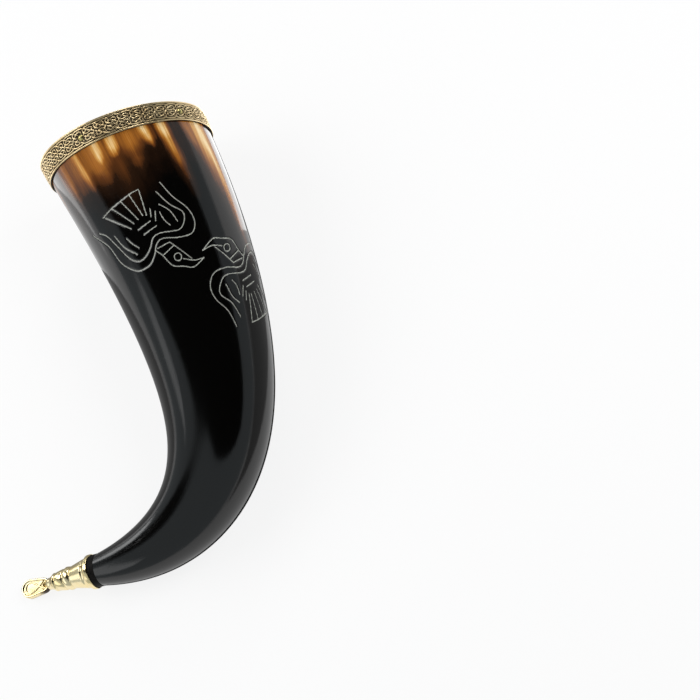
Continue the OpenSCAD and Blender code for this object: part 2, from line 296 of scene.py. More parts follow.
class Shape:
    """Points and faces of one piece, gathered ring by ring, with one value per point for each attribute."""

    def __init__(self, *attributes):
        self.points = []
        self.faces = []
        self.count = 0
        self.values = {name: [] for name in attributes}

    def ring(self, points, **values):
        """Adds points and returns their numbers."""
        points = np.asarray(points, float).reshape(-1, 3)
        numbers = np.arange(self.count, self.count + len(points))
        self.points.append(points)
        self.count += len(points)
        for name, gathered in self.values.items():
            value = np.asarray(values[name], float)
            if value.ndim == 0:
                value = np.full(len(points), float(value))
            gathered.append(value)
        return numbers

    def strip(self, ring_a, ring_b):
        """Quads between two closed rings with as many points."""
        quads = np.stack([ring_a, np.roll(ring_a, -1), np.roll(ring_b, -1), ring_b], -1)
        self.faces.extend(quads.tolist())

    def cap(self, ring):
        self.faces.append(ring.tolist())

    def run(self, rings):
        """Quads along a run of rings."""
        for ring_a, ring_b in zip(rings, rings[1:]):
            self.strip(ring_a, ring_b)

    def tube(self, rings):
        """A run of rings that closes on itself, as a cord round the band does."""
        self.run(rings + rings[:1])

    def piece(self, name, finish, slot, *nodes):
        mesh = bpy.data.meshes.new(name)
        mesh.from_pydata(in_row(np.vstack(self.points)).tolist(), [], self.faces)
        for key, gathered in self.values.items():
            value = np.concatenate(gathered).astype(np.float32)
            kind = "FLOAT" if value.ndim == 1 else "FLOAT_VECTOR"
            field = "value" if value.ndim == 1 else "vector"
            mesh.attributes.new(key, kind, "POINT").data.foreach_set(field, value.ravel())
        mesh.polygons.foreach_set("use_smooth", np.ones(len(mesh.polygons), bool))
        turned = bmesh.new()
        turned.from_mesh(mesh)
        bmesh.ops.recalc_face_normals(turned, faces=turned.faces)
        turned.to_mesh(mesh)
        turned.free()
        mesh.materials.append(finish)
        piece = bpy.data.objects.new(name, mesh)
        bpy.context.scene.collection.objects.link(piece)
        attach(piece, "root")
        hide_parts(*nodes)


# Engraved birds. The lines of one bird are drawn on the unrolled skin, in millimetres from the middle of the
# pair: x runs round the horn and y along it, away from the mouth. The other bird is the same turned by half,
# a little wider and leant over.
CHART_R = 32.5
PAIR_ANGLE = 68.8
PAIR_AT = 69.7
GROOVE_HALF = 0.27
GROOVE_DEPTH = 0.28
EYE = ((11, -1), 1.6)
EYE_POINTS = 25
LINE_STEPS = 8
SECOND_LEAN = np.array([(1.13, 0.24), (0.0, 0.945)])
SECOND_SHIFT = np.array((-0.3, 2.0))
BIRD = [
    # tail
    [(35, -32), (29, -33), (24, -33.5), (19.5, -34), (15, -34)],
    [(34, -31.5), (25, -20.5)],
    [(29, -33), (23, -22)],
    [(24, -33.5), (20.5, -22.5)],
    [(19.5, -34), (18, -23)],
    [(15, -34), (16.5, -22.5)],
    # marks between the tail and the back
    [(22.5, -18.5), (16, -19.5)],
    [(21, -15.5), (14.5, -16.5)],
    [(14, -24.5), (15, -21)],
    [(12.5, -22.5), (14, -18.5)],
    # outline of both wings, then the line inside it
    [(6, -33), (3.5, -25.5), (-0.5, -19), (-1.5, -13), (1.5, -8.5), (7.5, -8.5), (14, -10.5), (17.5, -9.5),
     (20, -6), (23.5, -3), (28, -2.5), (32, -4), (37.5, -10.5), (40, -20.5), (46.5, -30)],
    [(9, -30), (6, -23), (2, -18), (3, -14), (6.5, -11.5), (14, -13), (18, -12.5),
     (20.5, -9.5), (24, -7), (28, -6.5), (32, -10), (35.5, -18.5), (38, -24.5), (41.5, -28)],
    # feathers
    [(34, -22), (32, -15.5), (27.5, -9.5)],
    [(29, -18), (27.5, -14.5), (25.5, -11.5)],
    [(10, -24.5), (7, -20.5), (5.5, -15)],
    [(11, -21.5), (10.5, -17.5), (9, -14.5)],
    # neck rings, head and beak
    [(18, -7.5), (12, -8)],
    [(16.5, -4), (11, -6)],
    [(12, -8), (5.5, 1.5)],
    [(19, -7), (17, -4), (14.5, 1.5), (10, 3.5), (6.5, 5), (4, 4.5), (0, 2.5)],
    [(0, 2.5), (4.5, 2.5), (9, 0.5)],
]


def spline(p, steps):
    """Short straight steps of a curve through the points; the first and last only lead it in and out."""
    t = np.linspace(0, 1, steps, endpoint=False)[:, None]
    spans = []
    for a, b, c, d in zip(p[:-3], p[1:-2], p[2:-1], p[3:]):
        bend = (2 * a - 5 * b + 4 * c - d) * t**2 + (3 * b - a - 3 * c + d) * t**3
        spans.append(b + (c - a) * t / 2 + bend / 2)
    return np.vstack([*spans, p[-2]])


def smooth_line(points):
    p = np.array(points, float)
    return spline(np.vstack([2 * p[0] - p[1], p, 2 * p[-1] - p[-2]]), LINE_STEPS)


def bird_lines():
    (eye_x, eye_y), eye_r = EYE
    turn = np.linspace(0, 2 * math.pi, EYE_POINTS)
    eye = np.stack([eye_x + eye_r * np.cos(turn), eye_y + eye_r * np.sin(turn)], -1)
    one = [smooth_line(line) for line in BIRD] + [eye]
    return one + [SECOND_SHIFT - line @ SECOND_LEAN for line in one]


def engraved(s, angle):
    """How deep the engraving is at points of the skin, from 0 to 1."""
    x = CHART_R * (angle - math.radians(PAIR_ANGLE))
    y = s - PAIR_AT
    gap = np.full(x.shape, 2 * GROOVE_HALF)
    for line in bird_lines():
        low = line.min(0) - GROOVE_HALF
        high = line.max(0) + GROOVE_HALF
        near = np.nonzero((x > low[0]) & (x < high[0]) & (y > low[1]) & (y < high[1]))
        spot = np.stack([x[near], y[near]], -1)
        for start, end in zip(line[:-1], line[1:]):
            way = end - start
            share = np.clip((spot - start) @ way / (way @ way), 0, 1)
            gap[near] = np.minimum(gap[near], np.linalg.norm(spot - start - share[:, None] * way, axis=1))
    return np.clip(1 - (gap / GROOVE_HALF) ** 2, 0, 1)


# Horn body: a fine mesh where the birds are, a coarser one elsewhere
FINE_FROM = -15.0
FINE_TO = 153.0
FINE_STEP = 0.56
FINE_PER_COARSE = 5
BACK_COLUMNS = 40
FINE_START = 34.5
FINE_END = 106.0
FINE_ROW = 0.32
COARSE_ROW = 1.2
INNER_ROW = 2.0
NOSE_ROWS = 8
NOSE_TURN = 1.5


def horn_columns():
    count = FINE_PER_COARSE * round((FINE_TO - FINE_FROM) / FINE_STEP / FINE_PER_COARSE)
    front = np.linspace(FINE_FROM, FINE_TO, count + 1)
    back = np.linspace(FINE_TO, FINE_FROM + 360, BACK_COLUMNS + 1)[1:-1]
    fine = np.radians(np.concatenate([front, back]))
    shared = np.concatenate([np.arange(0, count + 1, FINE_PER_COARSE), count + 1 + np.arange(len(back))])
    return fine, shared


def horn_rows(start, end, spacing):
    return np.linspace(start, end, round((end - start) / spacing) + 1)


def horn_body(finish):
    fine, shared = horn_columns()
    coarse = fine[shared]
    shape = Shape("lay", "cut", "inner")

    def skin(s, angles, inside=False):
        place, r = leaned(np.full(len(angles), s), inner_r if inside else outer_r, angles)
        cut = np.zeros(len(angles)) if inside or len(angles) < len(fine) else engraved(place, angles)
        lay = np.stack([CHART_R * np.cos(angles), CHART_R * np.sin(angles), place], -1)
        points = ring_point(place, r - GROOVE_DEPTH * cut, angles)
        return shape.ring(points, lay=lay, cut=cut, inner=float(inside))

    def widen(few, many):
        """Faces between a coarse ring and a fine one, which share every coarse column."""
        ends = np.append(shared, len(many))
        for j, (start, end) in enumerate(zip(ends[:-1], ends[1:])):
            run = [many[k % len(many)] for k in range(start, end + 1)]
            shape.faces.append([int(n) for n in [few[(j + 1) % len(few)], few[j], *run]])

    near = [skin(s, coarse) for s in horn_rows(MOUTH_CUT, FINE_START, COARSE_ROW)]
    birds = [skin(s, fine) for s in horn_rows(FINE_START + FINE_ROW, FINE_END, FINE_ROW)]
    far = [skin(s, coarse) for s in horn_rows(FINE_END + FINE_ROW, HORN_LENGTH, COARSE_ROW)]
    for rings in (near, birds, far):
        shape.run(rings)
    widen(near[-1], birds[0])
    widen(far[0], birds[-1])

    end_s = np.full(len(coarse), HORN_LENGTH + SPIGOT_LENGTH)
    end_points = ring_point(end_s, np.full(len(coarse), SPIGOT_END_R), coarse)
    spigot = shape.ring(end_points, lay=np.zeros_like(end_points), cut=0, inner=0)
    shape.strip(far[-1], spigot)
    shape.cap(spigot)

    nose = HOLLOW_DEPTH - HOLLOW_NOSE * (1 - np.sin(np.linspace(0, NOSE_TURN, NOSE_ROWS)))
    deep = np.concatenate([horn_rows(MOUTH_CUT, HOLLOW_DEPTH - HOLLOW_NOSE, INNER_ROW), nose[1:]])
    hollow = [skin(s, coarse, inside=True) for s in deep]
    shape.run(hollow)
    shape.cap(hollow[-1])
    shape.strip(hollow[0], near[0])
    shape.piece("horn_polished", finish, "horn", "horn_body")


# Rim band. Turn 0 is the decorated side and 90 degrees the outside of the bend; offset is measured out from
# the seat on the horn, and depth down from the plane of the mouth.
BAND_COLUMNS = 288
CORD_SIDES = 8
CORD_HALF_WIDTH = 0.32
CORD_HALF_HEIGHT = 0.26
CORD_WEAVE = 0.13
CORD_LIFT = 0.06
NAIL_COUNT = 5
NAIL_FIRST = -24.0
NAIL_SECOND = 49.0
NAIL_TURNS = (NAIL_FIRST, *np.linspace(NAIL_SECOND, NAIL_FIRST + 360, NAIL_COUNT - 1, endpoint=False))
NAIL_CLEAR = (1.3, 2.0)
NAIL_DEPTH = (TOP_BORDER + BAND_HEIGHT - LOW_BORDER) / 2
FIELD_MIDDLE = 4.8
LIP_ROUND = 0.3
TOP_ROLL = 0.46
LOW_BEAD = 0.38

# The knotwork is one cord that runs four times round the band, so a repeat is four pitches long and the hooks
# along each border lie one pitch apart. Half of a repeat, with its hook near the upper border, is given as
# (millimetres along, millimetres above the field's middle, 1 or -1 where it runs over or under itself). The
# other half is the same turned by half round the last point.
KNOT_ROUNDS = 4
KNOT_HOOKS = 43
KNOT_PITCH = 5.6
KNOT_STEPS = 3
KNOT_START = -0.45
KNOT_HALF = [
    (-2.8, 0.0, 1.0), (-1.85, 0.85, -1.0), (-1.0, 1.42, 0.0), (-0.15, 1.92, 1.0), (0.7, 2.32, 0.3),
    (1.5, 2.42, 0.0), (2.2, 2.2, 0.0), (2.5, 1.65, 0.0), (2.15, 1.15, -0.3), (1.35, 0.85, -1.0),
    (0.5, 0.52, 0.0), (-0.3, 0.4, 0.2), (-1.1, 0.45, 0.5), (-1.75, 0.82, 1.0), (-2.1, 1.5, 0.0),
    (-1.95, 2.3, -0.3), (-1.35, 2.9, -1.0), (-0.5, 3.22, 0.0), (0.8, 3.36, 0.0), (2.2, 3.38, 0.0),
    (3.2, 3.3, 0.3), (4.25, 2.92, 1.0), (4.9, 2.35, 0.0), (5.45, 1.9, -1.0), (6.2, 1.38, 0.0),
    (6.95, 0.88, 1.0), (7.7, 0.42, 0.0), (8.4, 0.0, -1.0),
]


def band_point(turn, offset, depth):
    tilt = MOUTH_SLOPE * math.tan(SLANT) * np.sin(turn)
    r = (SEAT_R + offset - MOUTH_SLOPE * depth / math.cos(SLANT)) / (1 + tilt)
    height = -depth / math.cos(SLANT) - math.tan(SLANT) * r * np.sin(turn)
    return np.stack(np.broadcast_arrays(r * np.sin(turn), height, r * np.cos(turn)), -1)


def arc(middle, r, start, end, count):
    """Points of an arc, with angles in degrees from the first axis to the second."""
    turn = np.radians(np.linspace(start, end, count))
    return [(middle[0] + r * math.cos(a), middle[1] + r * math.sin(a)) for a in turn]


def band_profile():
    """The strip's section as (offset, depth): turned lip, rolled top border, field and beaded low border."""
    field = STRIP_THICKNESS
    proud = STRIP_THICKNESS + BORDER_PROUD
    lip = MOUTH_R - WALL_MOUTH - SEAT_R
    bead_at = BAND_HEIGHT - LOW_BEAD - 0.05
    return [
        (lip, LIP_THICKNESS),
        *arc((lip + LIP_ROUND, LIP_ROUND), LIP_ROUND, 180, 270, 4),
        *arc((proud - TOP_ROLL, TOP_ROLL), TOP_ROLL, 270, 405, 10),
        (field, 2 * TOP_ROLL + 0.04),
        (field, bead_at - LOW_BEAD - 0.06),
        *arc((proud - LOW_BEAD, bead_at), LOW_BEAD, 300, 440, 10),
        (0.25, BAND_HEIGHT),
        (0.0, BAND_HEIGHT - 0.1),
        (0.0, LIP_THICKNESS),
    ]


def knot_line():
    """The knot's cord all round the band, as (along, above the field's middle, over or under)."""
    half = np.array(KNOT_HALF)
    turned = half[-2:0:-1] * (-1, -1, 1) + (2 * half[-1, 0], 0, 0)
    repeat = np.vstack([half, turned])
    onward = np.array([KNOT_ROUNDS * KNOT_PITCH, 0, 0])
    laid = np.vstack([repeat + number * onward for number in range(-1, KNOT_HOOKS + 1)])
    start = (len(repeat) - 1) * KNOT_STEPS
    return spline(laid, KNOT_STEPS)[start:start + KNOT_HOOKS * len(repeat) * KNOT_STEPS]


def lay_cord(shape, middle, outward, half_size, lift, top):
    """A closed cord along the middle points; relief is lift plus height in the cord, as a share of top, so
    the finish gives each cord's lower side painted shade and its top a painted highlight.
    """
    onward = np.roll(middle, -1, axis=0) - np.roll(middle, 1, axis=0)
    across = np.cross(onward, outward)
    across /= np.linalg.norm(across, axis=1)[:, None]
    round_cord = np.linspace(0, 2 * math.pi, CORD_SIDES, endpoint=False)
    wide = half_size[0] * np.cos(round_cord)[:, None]
    tall = half_size[1] * np.sin(round_cord)
    rings = []
    for k in range(len(middle)):
        points = middle[k] + wide * across[k] + tall[:, None] * outward[k]
        rings.append(shape.ring(points, relief=(lift[k] + tall) / top))
    shape.tube(rings)


def knot_cord(shape):
    along, height, over = knot_line().T
    turn = KNOT_START / FIELD_R + 2 * math.pi * along / (KNOT_PITCH * KNOT_HOOKS)
    nails = np.radians(NAIL_TURNS)[:, None]
    aside = np.remainder(turn - nails + math.pi, 2 * math.pi) - math.pi
    from_nail = np.hypot(aside * FIELD_R, height + NAIL_DEPTH - FIELD_MIDDLE).min(0)
    share = np.clip((from_nail - NAIL_CLEAR[0]) / (NAIL_CLEAR[1] - NAIL_CLEAR[0]), 0, 1)
    offset = STRIP_THICKNESS + (CORD_LIFT + CORD_WEAVE * over) * share - CORD_HALF_HEIGHT * (1 - share)
    middle = band_point(turn, offset, FIELD_MIDDLE - height)
    outward = band_point(turn, offset + 1, FIELD_MIDDLE - height) - middle
    top = CORD_LIFT + CORD_WEAVE + CORD_HALF_HEIGHT
    lay_cord(shape, middle, outward, (CORD_HALF_WIDTH, CORD_HALF_HEIGHT), offset - STRIP_THICKNESS, top)


def rim_band(finish):
    shape = Shape("relief")
    turn = np.linspace(0, 2 * math.pi, BAND_COLUMNS, endpoint=False)
    rings = []
    for offset, depth in band_profile():
        crest = (offset - STRIP_THICKNESS) / BORDER_PROUD if depth > LIP_ROUND else 1.0
        rings.append(shape.ring(band_point(turn, offset, depth), relief=np.clip(crest, 0, 1)))
    shape.tube(rings)
    knot_cord(shape)
    shape.piece("rim_band_knotwork", finish, "band_brass", "rim_band")


# Tip ferrule. Stations are measured along it from the lip.
COLLAR_R = 7.7
COLLAR_LENGTH = 1.8
WAIST_R = 6.35
HOLLOW_LENGTH = 2.2
CONE_END_R = 5.0
CONE_LENGTH = 11.0
RING_LENGTH = 3.6
RING_SWELL = 0.25
STEM_R = 4.0
STEM_LENGTH = 5.4
NECK_LENGTH = 3.0
NECK_R = 2.7
GROOVE_DEEP = 0.35
GROOVE_WIDE = 0.8
GROOVE_LIP = 0.15
GROOVE_ROUND = 0.05
PLATE_LENGTH = 14.2
PLATE_WIDE_R = 4.2
PLATE_NARROW_R = 3.3
PLATE_THICKNESS = 3.0
PLATE_BORDER = 0.9
PLATE_SINK = 0.5
PLATE_ROLL = math.radians(-10.0)
TURNED_SIDES = 96
PLATE_SIDES = 72
PLATE_RECESS_SHADE = 0.3

# Painted shade at the plate's shoulder, darkening its edge beside the neck: how far it reaches, fades and
# goes in from the edge
SHOULDER_SHADE_REACH = 1.4
SHOULDER_SHADE_FADE = 2.0
SHOULDER_SHADE_EDGE = 0.2

# The cord of the plate's knot
LOOP_STEPS = 180
LOOP_SHIFT = 0.3
LOOP_REACH = 4.6
LOOP_WIDTH = 2.3
LOOP_TAPER = 0.03
LOOP_LIFT = 0.1
LOOP_WEAVE = 0.12
LOOP_PHASE = 0.4
LOOP_SHADE = 0.5
LOOP_HALF_SIZE = (0.42, 0.32)

# Worked out from them
NECK_START = CONE_LENGTH + RING_LENGTH + STEM_LENGTH
PLATE_START = NECK_START + NECK_LENGTH
PLATE_END = PLATE_START + PLATE_LENGTH
PLATE_WIDE_AT = PLATE_END - PLATE_WIDE_R
PLATE_NARROW_AT = PLATE_START + PLATE_NARROW_R
plate_up = math.cos(PLATE_ROLL) * tip_up + math.sin(PLATE_ROLL) * tip_side
plate_side = np.cross(tip_way, plate_up)


def groove(at, r):
    """A turned groove with rounded lips, as (radius, station) points."""
    half = GROOVE_WIDE / 2
    return [
        (r, at - half - GROOVE_LIP),
        (r - GROOVE_ROUND, at - half),
        (r - GROOVE_DEEP, at - half / 2),
        (r - GROOVE_DEEP, at + half / 2),
        (r - GROOVE_ROUND, at + half),
        (r, at + half + GROOVE_LIP),
    ]


def ferrule_profile():
    hollow_turn = np.radians(np.linspace(8, 90, 9))
    hollow = [
        (COLLAR_R - (COLLAR_R - WAIST_R) * math.sin(a), COLLAR_LENGTH + HOLLOW_LENGTH * (1 - math.cos(a)))
        for a in hollow_turn
    ]
    neck_turn = np.linspace(0, 1, 9)
    neck = [
        (STEM_R - (STEM_R - NECK_R) * math.sin(math.pi / 2 * t), NECK_START + NECK_LENGTH * t)
        for t in neck_turn
    ]
    ring_r = (CONE_END_R + STEM_R) / 2 + RING_SWELL
    cone_start = np.array([WAIST_R + 0.1, COLLAR_LENGTH + HOLLOW_LENGTH + 0.5])
    cone_end = np.array(groove(CONE_LENGTH, CONE_END_R)[0])
    cone = [tuple(cone_start + part * (cone_end - cone_start)) for part in (0.0, 0.06, 0.94)]
    return [
        (SOCKET_R, 1.5),
        (SOCKET_R, 0.15),
        (SOCKET_R + 0.1, 0.03),
        *arc((COLLAR_R - 0.35, 0.35), 0.35, -90, 0, 5),
        *arc((COLLAR_R - 0.25, COLLAR_LENGTH - 0.25), 0.25, 0, 60, 4),
        *hollow,
        (WAIST_R + 0.12, COLLAR_LENGTH + HOLLOW_LENGTH + 0.12),
        *cone,
        *groove(CONE_LENGTH, CONE_END_R),
        (CONE_END_R + RING_SWELL, CONE_LENGTH + RING_LENGTH / 2),
        *groove(CONE_LENGTH + RING_LENGTH, ring_r),
        *groove(NECK_START - GROOVE_WIDE, STEM_R + 0.1),
        *neck,
        (PLATE_THICKNESS / 2 - 0.3, PLATE_NARROW_AT),
    ]


def tip_point(x, y, station):
    """A point at the tip: x along the ferrule's upper side, y along its side."""
    upper = np.asarray(x)[..., None] * tip_up + np.asarray(y)[..., None] * tip_side
    return lip_centre + upper + np.asarray(station)[..., None] * tip_way


def plate_point(x, station, height):
    on_plate = np.asarray(x)[..., None] * plate_side + np.asarray(height)[..., None] * plate_up
    return lip_centre + on_plate + np.asarray(station)[..., None] * tip_way


def plate_outline(inset):
    """Two round ends joined by straight sides, as (across, station)."""
    turn = np.linspace(0, 2 * math.pi, PLATE_SIDES, endpoint=False)
    lean = math.asin((PLATE_WIDE_R - PLATE_NARROW_R) / (PLATE_WIDE_AT - PLATE_NARROW_AT))
    at_wide = np.sin(turn) > -math.sin(lean)
    r = np.where(at_wide, PLATE_WIDE_R, PLATE_NARROW_R) - inset
    station = np.where(at_wide, PLATE_WIDE_AT, PLATE_NARROW_AT)
    return r * np.cos(turn), station + r * np.sin(turn)


def tip_ferrule(finish):
    shape = Shape("relief")
    turn = np.linspace(0, 2 * math.pi, TURNED_SIDES, endpoint=False)
    profile = ferrule_profile()
    turned = [
        shape.ring(tip_point(r * np.cos(turn), r * np.sin(turn), np.full(len(turn), at)), relief=1.0)
        for r, at in profile
    ]
    shape.run(turned)
    shape.cap(turned[0])
    shape.cap(turned[-1])

    half = PLATE_THICKNESS / 2
    sunk = half - PLATE_SINK
    edge = [(0.7, -half), (0.25, -half + 0.08), (0.0, -half + 0.4), (0.0, half - 0.35), (0.1, half - 0.1),
            (0.3, half), (PLATE_BORDER - 0.25, half), (PLATE_BORDER - 0.05, half - 0.12),
            (PLATE_BORDER + 0.1, sunk + 0.05), (PLATE_BORDER + 0.25, sunk), (PLATE_BORDER + 0.4, sunk)]
    plate = []
    for inset, height in edge:
        across, station = plate_outline(inset)
        # The plate's edge next to the neck takes the dark colour as painted shade
        shoulder_shade = np.clip((PLATE_NARROW_AT + SHOULDER_SHADE_REACH - station) / SHOULDER_SHADE_FADE, 0, 1)
        crest = PLATE_RECESS_SHADE if height == sunk else 1.0 - shoulder_shade * (inset < SHOULDER_SHADE_EDGE)
        points = plate_point(across, station, np.full(len(across), height))
        plate.append(shape.ring(points, relief=crest))
    shape.run(plate)
    shape.cap(plate[0])
    shape.cap(plate[-1])
    plate_knot(shape, sunk)
    shape.piece("tip_ferrule_polished", finish, "ferrule_brass", "tip_ferrule")


def plate_knot(shape, face):
    """A closed interlaced knot on the end plate's sunk face."""
    turn = np.linspace(0, 2 * math.pi, LOOP_STEPS, endpoint=False)
    middle_at = (PLATE_START + PLATE_END) / 2 + LOOP_SHIFT
    station = middle_at + LOOP_REACH * np.sin(2 * turn + math.pi / 2)
    taper = 1 + LOOP_TAPER * (station - middle_at)
    across = LOOP_WIDTH * taper * np.sin(3 * turn)
    height = face + LOOP_LIFT + LOOP_WEAVE * np.cos(6 * turn + LOOP_PHASE)
    middle = plate_point(across, station, height)
    outward = np.broadcast_to(plate_up, middle.shape)
    lay_cord(shape, middle, outward, LOOP_HALF_SIZE, np.full(LOOP_STEPS, LOOP_SHADE), 1.0)


# Finishes

# Pale streaks of the horn under the band: angle round the horn at the band's edge, half width and drift of
# the angle per millimetre, then how far the streak reaches from the mouth and how pale it is
STREAK_FROM = 12.0
STREAK_BLEND = 0.08
STREAK_EDGES = (2.0, -0.3)
STREAK_WANDER = 7.0
STREAK_HOLD = 0.1
STREAK_RAGGED = 14.0
STREAK_POINTED = 0.3
GLOW_ENDS = (42.0, 8.0)
GLOW_RAGGED = 30.0
GLOW_WEIGHT = 0.2
STREAKS = [
    (116.0, 34.0, 0.0, 46.0, 0.48),
    (132.0, 16.0, 0.0, 38.0, 0.54),
    (112.0, 24.0, 0.0, 40.0, 0.66),
    (142.0, 10.0, 0.0, 36.0, 0.62),
    (126.0, 6.5, -0.06, 40.0, 0.80),
    (109.5, 6.5, 0.08, 28.0, 0.93),
    (97.5, 6.5, 0.2, 26.0, 0.96),
    (98.0, 15.0, 0.1, 58.0, 0.42),
    (85.0, 13.0, 0.1, 38.0, 0.68),
    (79.5, 4.0, 0.0, 26.0, 0.62),
    (74.0, 5.5, -0.2, 27.0, 1.0),
    (61.0, 6.0, -0.1, 32.0, 1.0),
    (61.0, 5.5, -0.14, 58.0, 0.82),
    (41.0, 6.5, -0.2, 46.0, 0.62),
    (29.5, 11.5, -0.12, 72.0, 1.0),
    (28.0, 7.0, -0.16, 100.0, 1.0),
    (-10.0, 6.0, 0.0, 38.0, 0.60),
    (-38.0, 9.0, 0.05, 46.0, 0.85),
    (-71.0, 7.0, 0.0, 30.0, 0.70),
    (-98.0, 8.0, -0.05, 56.0, 0.90),
    (-131.0, 6.0, 0.0, 28.0, 0.62),
    (-160.0, 8.0, 0.05, 40.0, 0.78),
    (169.0, 6.0, 0.0, 30.0, 0.55),
]
HORN_TONES = [
    (0.0, (0.0012, 0.0011, 0.0010)),
    (0.22, (0.020, 0.0085, 0.0040)),
    (0.42, (0.125, 0.040, 0.0100)),
    (0.62, (0.350, 0.124, 0.0190)),
    (0.80, (0.610, 0.310, 0.0750)),
    (1.0, (0.860, 0.660, 0.350)),
]


def horn_finish():
    finish = Finish(bpy.data.materials.new("polished_horn"))
    lay = finish.attribute("lay", out="Vector")
    parts = finish.node("SeparateXYZ", sockets={0: lay})
    x, y, along = (Value(finish, output) for output in parts.socket.node.outputs)
    angle = finish.math("ARCTAN2", y, x) * math.degrees(1)
    inner = finish.attribute("inner")
    cut = finish.attribute("cut")

    fibres = finish.noise(finish.stretched(lay, (0.55, 0.55, 0.025)), 1.0, 4.0, 0.6)
    fine_fibres = finish.noise(finish.stretched(lay, (2.4, 2.4, 0.06)), 1.0, 3.0, 0.6)
    clouds = finish.noise(lay, 0.08, 3.0)
    wander = (fibres - 0.5) * STREAK_WANDER
    pale = None
    for middle, half_width, drift, reach, weight in STREAKS:
        aside = abs(angle - along * drift - (middle - drift * STREAK_FROM) + wander)
        body = finish.step(aside / half_width, *STREAK_EDGES)
        hold = STREAK_FROM + STREAK_HOLD * (reach - STREAK_FROM)
        ragged = along + (clouds - 0.5) * STREAK_RAGGED + aside * STREAK_POINTED
        fade = finish.step(ragged, reach, hold)
        streak = body * fade * weight
        pale = streak if pale is None else finish.math("SMOOTH_MAX", pale, streak, STREAK_BLEND)
    pale = finish.math("MAXIMUM", (pale - STREAK_BLEND) / (1 - STREAK_BLEND), 0.0)
    glow = finish.step(along + (clouds - 0.5) * GLOW_RAGGED, *GLOW_ENDS) * GLOW_WEIGHT
    tone = finish.math("MAXIMUM", pale * (0.80 + 0.50 * fine_fibres), glow * (0.3 + 1.4 * fibres))
    inside_tone = 0.28 + 0.5 * fibres - 0.003 * along
    tone = tone + inner * (inside_tone - tone)
    skin = finish.ramp(tone, HORN_TONES)
    scratched = finish.noise(finish.place(), 2600.0, 3.0, 0.7)
    bone = finish.ramp(scratched, [(0.3, (0.19, 0.195, 0.17)), (0.7, (0.55, 0.56, 0.50))])
    scored = finish.step(cut + (scratched - 0.5) * 0.6, 0.25, 0.75)
    colour = finish.mix(scored, skin, bone)

    smear = finish.noise(finish.stretched(lay, (0.12, 0.12, 0.03)), 1.0, 3.0)
    gloss = 0.06 + 0.08 * smear + 0.5 * scored
    height = fine_fibres * 0.4 + fibres * 0.6
    normal = finish.bump(height, 0.00006, 0.5)
    return finish.surface(Base_Color=colour, Roughness=gloss, Normal=normal, IOR=1.52)


def brass_finish(name, bright, dull, patina_and_shade, rough, recess_start, recess_end):
    """Brass with dark patina in its recesses and worn crests, from the relief attribute of its mesh. Relief
    follows height across each cord, so the cords' lower sides also get that dark colour as painted shade and
    their tops the bright brass as a painted highlight.
    """
    finish = Finish(bpy.data.materials.new(name))
    place = finish.place()
    relief = finish.attribute("relief")
    clouds = finish.noise(place, 160.0, 4.0, 0.6)
    grain = finish.noise(place, 2200.0, 4.0, 0.65)
    # Low relief takes the dark colour: real patina in the field, painted shade on the cords' lower sides;
    # high relief is worn crests and a painted highlight on cord tops
    crest = finish.step(relief + (grain - 0.5) * 0.25 + (clouds - 0.5) * 0.2, recess_start, recess_end)
    metal = finish.mix(finish.step(clouds, 0.35, 0.68), rgba(*dull), rgba(*bright))
    colour = finish.mix(crest, rgba(*patina_and_shade), metal)
    gloss = rough + 0.3 * (1 - crest) + 0.18 * (grain - 0.5)
    normal = finish.bump(grain * 0.7 + clouds * 0.3, 0.00005, 0.4)
    metallic = 0.55 + 0.45 * crest
    return finish.surface(Base_Color=colour, Roughness=gloss, Metallic=metallic, Normal=normal)


def plain_brass_finish(name, bright, dull, rough):
    """Brass without relief of its own: nails and pin."""
    finish = Finish(bpy.data.materials.new(name))
    place = finish.place()
    clouds = finish.noise(place, 420.0, 4.0, 0.6)
    grain = finish.noise(place, 3000.0, 3.0, 0.6)
    colour = finish.mix(finish.step(clouds + (grain - 0.5) * 0.3, 0.36, 0.66), rgba(*dull), rgba(*bright))
    gloss = rough + 0.25 * (grain - 0.3)
    normal = finish.bump(grain, 0.00004, 0.4)
    return finish.surface(Base_Color=colour, Roughness=gloss, Metallic=1.0, Normal=normal)


def pitch_finish():
    finish = Finish(bpy.data.materials.new("dark_pitch"))
    lumps = finish.noise(finish.place(), 900.0, 4.0, 0.6)
    colour = finish.ramp(lumps, [(0.3, (0.002, 0.0018, 0.0016)), (0.75, (0.009, 0.0075, 0.0065))])
    gloss = 0.35 + 0.3 * lumps
    normal = finish.bump(lumps, 0.00012, 0.6)
    return finish.surface(Base_Color=colour, Roughness=gloss, Normal=normal, Specular_IOR_Level=0.08)


def refinish(node, finish):
    """Gives a CAD node its finish in place of the plain one."""
    materials = frame["nodes"][node].data.materials
    materials.clear()
    materials.append(finish)


# Build the pieces

horn_body(horn_finish())
# The third colour of each brass is its patina, which also serves as painted shade on cord undersides and at
# the plate's shoulder
band_metal = brass_finish(
    "antique_brass", (0.97, 0.77, 0.45), (0.86, 0.64, 0.34), (0.040, 0.026, 0.011), 0.30, 0.08, 0.74)
rim_band(band_metal)
ferrule_metal = brass_finish(
    "cast_brass", (0.98, 0.85, 0.54), (0.95, 0.78, 0.42), (0.045, 0.024, 0.008), 0.20, 0.0, 0.5)
tip_ferrule(ferrule_metal)
refinish("rim_nails", plain_brass_finish("nail_brass", (0.88, 0.77, 0.34), (0.66, 0.55, 0.21), 0.34))
refinish("tip_pin", plain_brass_finish("pin_brass", (0.30, 0.18, 0.06), (0.10, 0.06, 0.02), 0.35))
refinish("tip_bedding", pitch_finish())


# Stage: a white floor inside a light tent that the camera looks through

